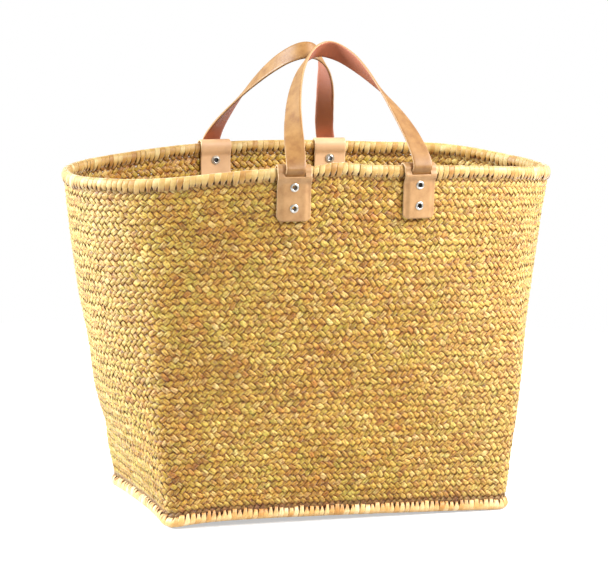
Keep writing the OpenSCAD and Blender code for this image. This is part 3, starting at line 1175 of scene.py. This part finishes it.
def straw_material():
    g = Graph("plaited_straw")
    along, across, strand = [g.read(key) for key in ("along", "across", "strand")]
    place = g.add("ShaderNodeTexCoord").outputs["Object"]
    slow = g.noise(g.place(g.times(along, 0.02), 0.0, strand), 1.7, 3.0)
    fibre = g.noise(g.place(g.times(along, 0.15), g.times(across, 5.0), strand), 1.3, 4.0, 0.7)
    grit = g.noise(place, 430.0, 3.0, 0.7)
    marked = straw_wear_and_groove_shade(g, straw_tones(g, place, slow), place, across, slow, fibre, grit)
    colour = straw_painted_shade(g, marked, strand, grit)
    rough = g.range(fibre, 0.2, 0.8, 0.56, 0.36)
    uneven = g.math("ADD", fibre, g.times(grit, 1.4))
    return g.finish(colour, rough, g.bump(uneven, 0.7, 0.0006), Specular_IOR_Level=0.4,
                    Sheen_Weight=0.32, Sheen_Roughness=0.35, Sheen_Tint=(1.0, 0.92, 0.72, 1.0))


def whipping_material(name, level, pale):
    """Bare strand with painted shade at its sides, between the turns, and where it tapers against the wall;
    level and pale scale its colours.
    """
    g = Graph(name)
    along, across, strand = [g.read(key) for key in ("along", "across", "strand")]
    tone = g.noise(g.place(g.times(along, 0.03), 0.0, g.times(strand, 0.35)), 1.6, 3.0)
    base = g.ramp(g.range(tone, 0.3, 0.7), [
        (0.0, linear(184 * level, 132 * level, 66 * pale)),
        (0.35, linear(206 * level, 162 * level, 94 * pale)),
        (0.7, linear(221 * level, 188 * level, 132 * pale)),
        (1.0, linear(236 * level, 216 * level, 174 * pale))])
    fibre = g.noise(g.place(g.times(along, 0.1), g.times(across, 5.0), strand), 1.6, 4.0, 0.65)
    streaked = g.shade(0.7, base, fibre, 0.3, 0.7, [(0.0, (0.68, 0.58, 0.44)), (1.0, WHITE)])
    # Painted shade: the sides of each turn, where it meets the next, and its tapered part against the wall
    # are darkened.
    tapered = g.range(g.read("pinch"), 1.02, 0.62)
    side = g.times(g.range(g.read("height"), 0.30, 0.02), g.range(tapered, 0.0, 1.0, 0.18, 0.9))
    shaded_edges = g.mix("MULTIPLY", side, streaked, (0.42, 0.24, 0.11))
    colour = g.mix("MULTIPLY", g.times(tapered, 0.6), shaded_edges, (0.76, 0.52, 0.34))
    rough = g.range(fibre, 0.2, 0.8, 0.56, 0.36)
    return g.finish(colour, rough, g.bump(fibre, 0.6, 0.0005), Specular_IOR_Level=0.5,
                    Sheen_Weight=0.35, Sheen_Roughness=0.35)


def reed_material():
    g = Graph("reed")
    place = g.add("ShaderNodeTexCoord").outputs["Object"]
    grain = g.noise(place, 320.0, 4.0, 0.6)
    colour = g.ramp(g.range(grain, 0.3, 0.7), [(0.0, linear(96, 60, 34)), (1.0, linear(150, 104, 56))])
    return g.finish(colour, 0.7, g.bump(grain, 0.4, 0.0004))


def leather_material(name, light, middle, dark, edge, reverse):
    """Clouded, pored leather with a pale cut edge and a rougher reverse; a patch's inner leaf is painted
    lighter as painted light.
    """
    g = Graph(name)
    face = g.read("face")
    at = g.place(g.read("along"), g.read("across"), g.times(face, 3.0))
    cloudy = g.noise(at, 0.09, 4.0, 0.6)
    base = g.ramp(g.range(cloudy, 0.3, 0.7), [(0.0, dark), (0.5, middle), (1.0, light)])
    cells = g.add("ShaderNodeTexVoronoi", {"Vector": at, "Scale": 1.5}, feature="DISTANCE_TO_EDGE")
    grain = g.noise(at, 2.6, 4.0, 0.65)
    pores = g.times(g.range(cells.outputs["Distance"], 0.0, 0.12), 0.5)
    mottled = g.shade(0.35, base, grain, 0.3, 0.7, [(0.0, (0.72, 0.6, 0.5)), (1.0, WHITE)])
    suede = g.shade(0.4, reverse, grain, 0.3, 0.7, [(0.0, (0.70, 0.58, 0.5)), (1.0, WHITE)])
    turned = g.mix("MIX", g.range(face, 0.2, -0.8), mottled, suede)
    # Painted light: the patch's inner leaf, inside the basket, is mixed towards a pale tan to make up for
    # the shade it stands in.
    toned = g.mix("MIX", g.times(g.read("inner"), 0.45), turned, linear(236, 192, 148))
    colour = g.mix("MIX", g.times(g.read("rim"), 0.75), toned, edge)
    rough = g.range(grain, 0.3, 0.7, 0.55, 0.40)
    skin = g.math("ADD", pores, grain)
    return g.finish(colour, rough, g.bump(skin, 0.14, 0.0003), Specular_IOR_Level=0.4)


def nickel_material():
    g = Graph("nickel")
    place = g.add("ShaderNodeTexCoord").outputs["Object"]
    marked = g.noise(place, 900.0, 3.0, 0.6)
    toned = g.ramp(marked, [(0.2, linear(196, 190, 178)), (0.8, linear(226, 222, 212))])
    # Painted shade: the bore is painted nearly black, standing in for the shade inside the narrow tube.
    colour = g.mix("MIX", g.times(g.read("bore"), 0.95), toned, linear(44, 30, 34))
    rough = g.range(marked, 0.2, 0.8, 0.22, 0.38)
    return g.finish(colour, rough, g.bump(marked, 0.08, 0.0002), Metallic=1.0)


# --- build ---

straw = straw_material()
rim_strand = whipping_material("rim_strand", 0.94, 0.84)
roll_strand = whipping_material("roll_strand", 1.1, 1.1)
reed = reed_material()
strap_leather = leather_material("strap_leather", linear(163, 119, 68), linear(150, 107, 58),
                                 linear(132, 88, 46), linear(182, 142, 96), linear(184, 112, 84))
patch_leather = leather_material("patch_leather", linear(186, 144, 97), linear(176, 134, 87),
                                 linear(160, 117, 73), linear(204, 170, 126), linear(190, 145, 98))
nickel = nickel_material()

build_wall(straw)
build_base(straw)
build_rim(rim_strand, reed)
build_roll(roll_strand, reed)
build_straps(strap_leather)
build_patches(patch_leather)
build_eyelets(nickel)
dress_washers(nickel)


# --- floor, light and camera ---

AIM_Z = 0.2


def floor():
    radius = 1.15
    rim = [(radius * math.cos(TAU * i / 96), radius * math.sin(TAU * i / 96), 0) for i in range(96)]
    mesh = bpy.data.meshes.new("floor")
    mesh.from_pydata(rim, [], [tuple(range(96))])
    g = Graph("floor")
    g.shader.inputs["Emission Color"].default_value = (1, 1, 1, 1)
    seen = g.add("ShaderNodeLightPath").outputs["Is Camera Ray"]
    g.put(g.shader.inputs["Emission Strength"], g.range(seen, 0.0, 1.0, 0.0, 0.52))
    mesh.materials.append(g.finish((0.52, 0.52, 0.52, 1), 0.9, None, Specular_IOR_Level=0.1))
    show("floor", mesh)


def lamp(name, place, size, power, colour):
    """A round soft lamp that faces the middle of the basket."""
    light = bpy.data.lights.new(name, "AREA")
    light.shape = "DISK"
    light.size = size
    light.energy = power
    light.color = colour
    stand = show(name, light)
    stand.location = place
    stand.rotation_mode = "QUATERNION"
    aim = Vector((0, 0, AIM_Z)) - Vector(place)
    stand.rotation_quaternion = aim.to_track_quat("-Z", "Y")


def sky(strength):
    """White beyond the floor's edge, and a soft light of the given strength on everything."""
    world = bpy.data.worlds.new("studio")
    world.use_nodes = True
    tree = world.node_tree
    seen = tree.nodes.new("ShaderNodeLightPath").outputs["Is Camera Ray"]
    level = tree.nodes.new("ShaderNodeMapRange")
    tree.links.new(seen, level.inputs["Value"])
    level.inputs["To Min"].default_value = strength
    level.inputs["To Max"].default_value = 1.0
    tree.nodes["Background"].inputs["Color"].default_value = (1, 1, 1, 1)
    tree.links.new(level.outputs["Result"], tree.nodes["Background"].inputs["Strength"])
    bpy.context.scene.world = world


def around(azimuth, elevation, distance):
    """A place round the basket, by degrees from the front towards the right, and upwards."""
    a = math.radians(azimuth)
    e = math.radians(elevation)
    return (math.sin(a) * math.cos(e) * distance, -math.cos(a) * math.cos(e) * distance,
            AIM_Z + math.sin(e) * distance)


def camera():
    """The photograph's view: from the front, a little to the left and above, tipped slightly."""
    azimuth = math.radians(-18.6)
    elevation = math.radians(8.5)
    roll = math.radians(0.9)
    distance = 2.745
    width_seen = 0.608
    sensor = 36
    back = Vector((math.sin(azimuth) * math.cos(elevation), -math.cos(azimuth) * math.cos(elevation),
                   math.sin(elevation)))
    right = Vector((math.cos(azimuth), math.sin(azimuth), 0))
    up = back.cross(right)
    right_r = right * math.cos(roll) + up * math.sin(roll)
    up_r = up * math.cos(roll) - right * math.sin(roll)
    view = bpy.data.cameras.new("camera")
    view.lens = sensor * distance / width_seen
    view.shift_x = -0.0099
    view.shift_y = 0.0267
    view.clip_start = 0.1
    view.clip_end = 50
    seat = show("camera", view)
    seat.matrix_world = Matrix((right_r, up_r, back)).transposed().to_4x4()
    seat.location = Vector((0, 0, AIM_Z)) + back * distance
    bpy.context.scene.camera = seat


floor()
sky(0.49)
lamp("key", around(66, 36, 1.5), 0.5, 33, (0.96, 1.04, 1.20))
lamp("left", around(-106, 24, 2.8), 1.8, 212, (0.92, 1.06, 1.20))
lamp("front", around(26, 33, 2.8), 0.6, 68, (1, 0.98, 0.92))
camera()
bpy.context.scene.view_settings.view_transform = "Standard"
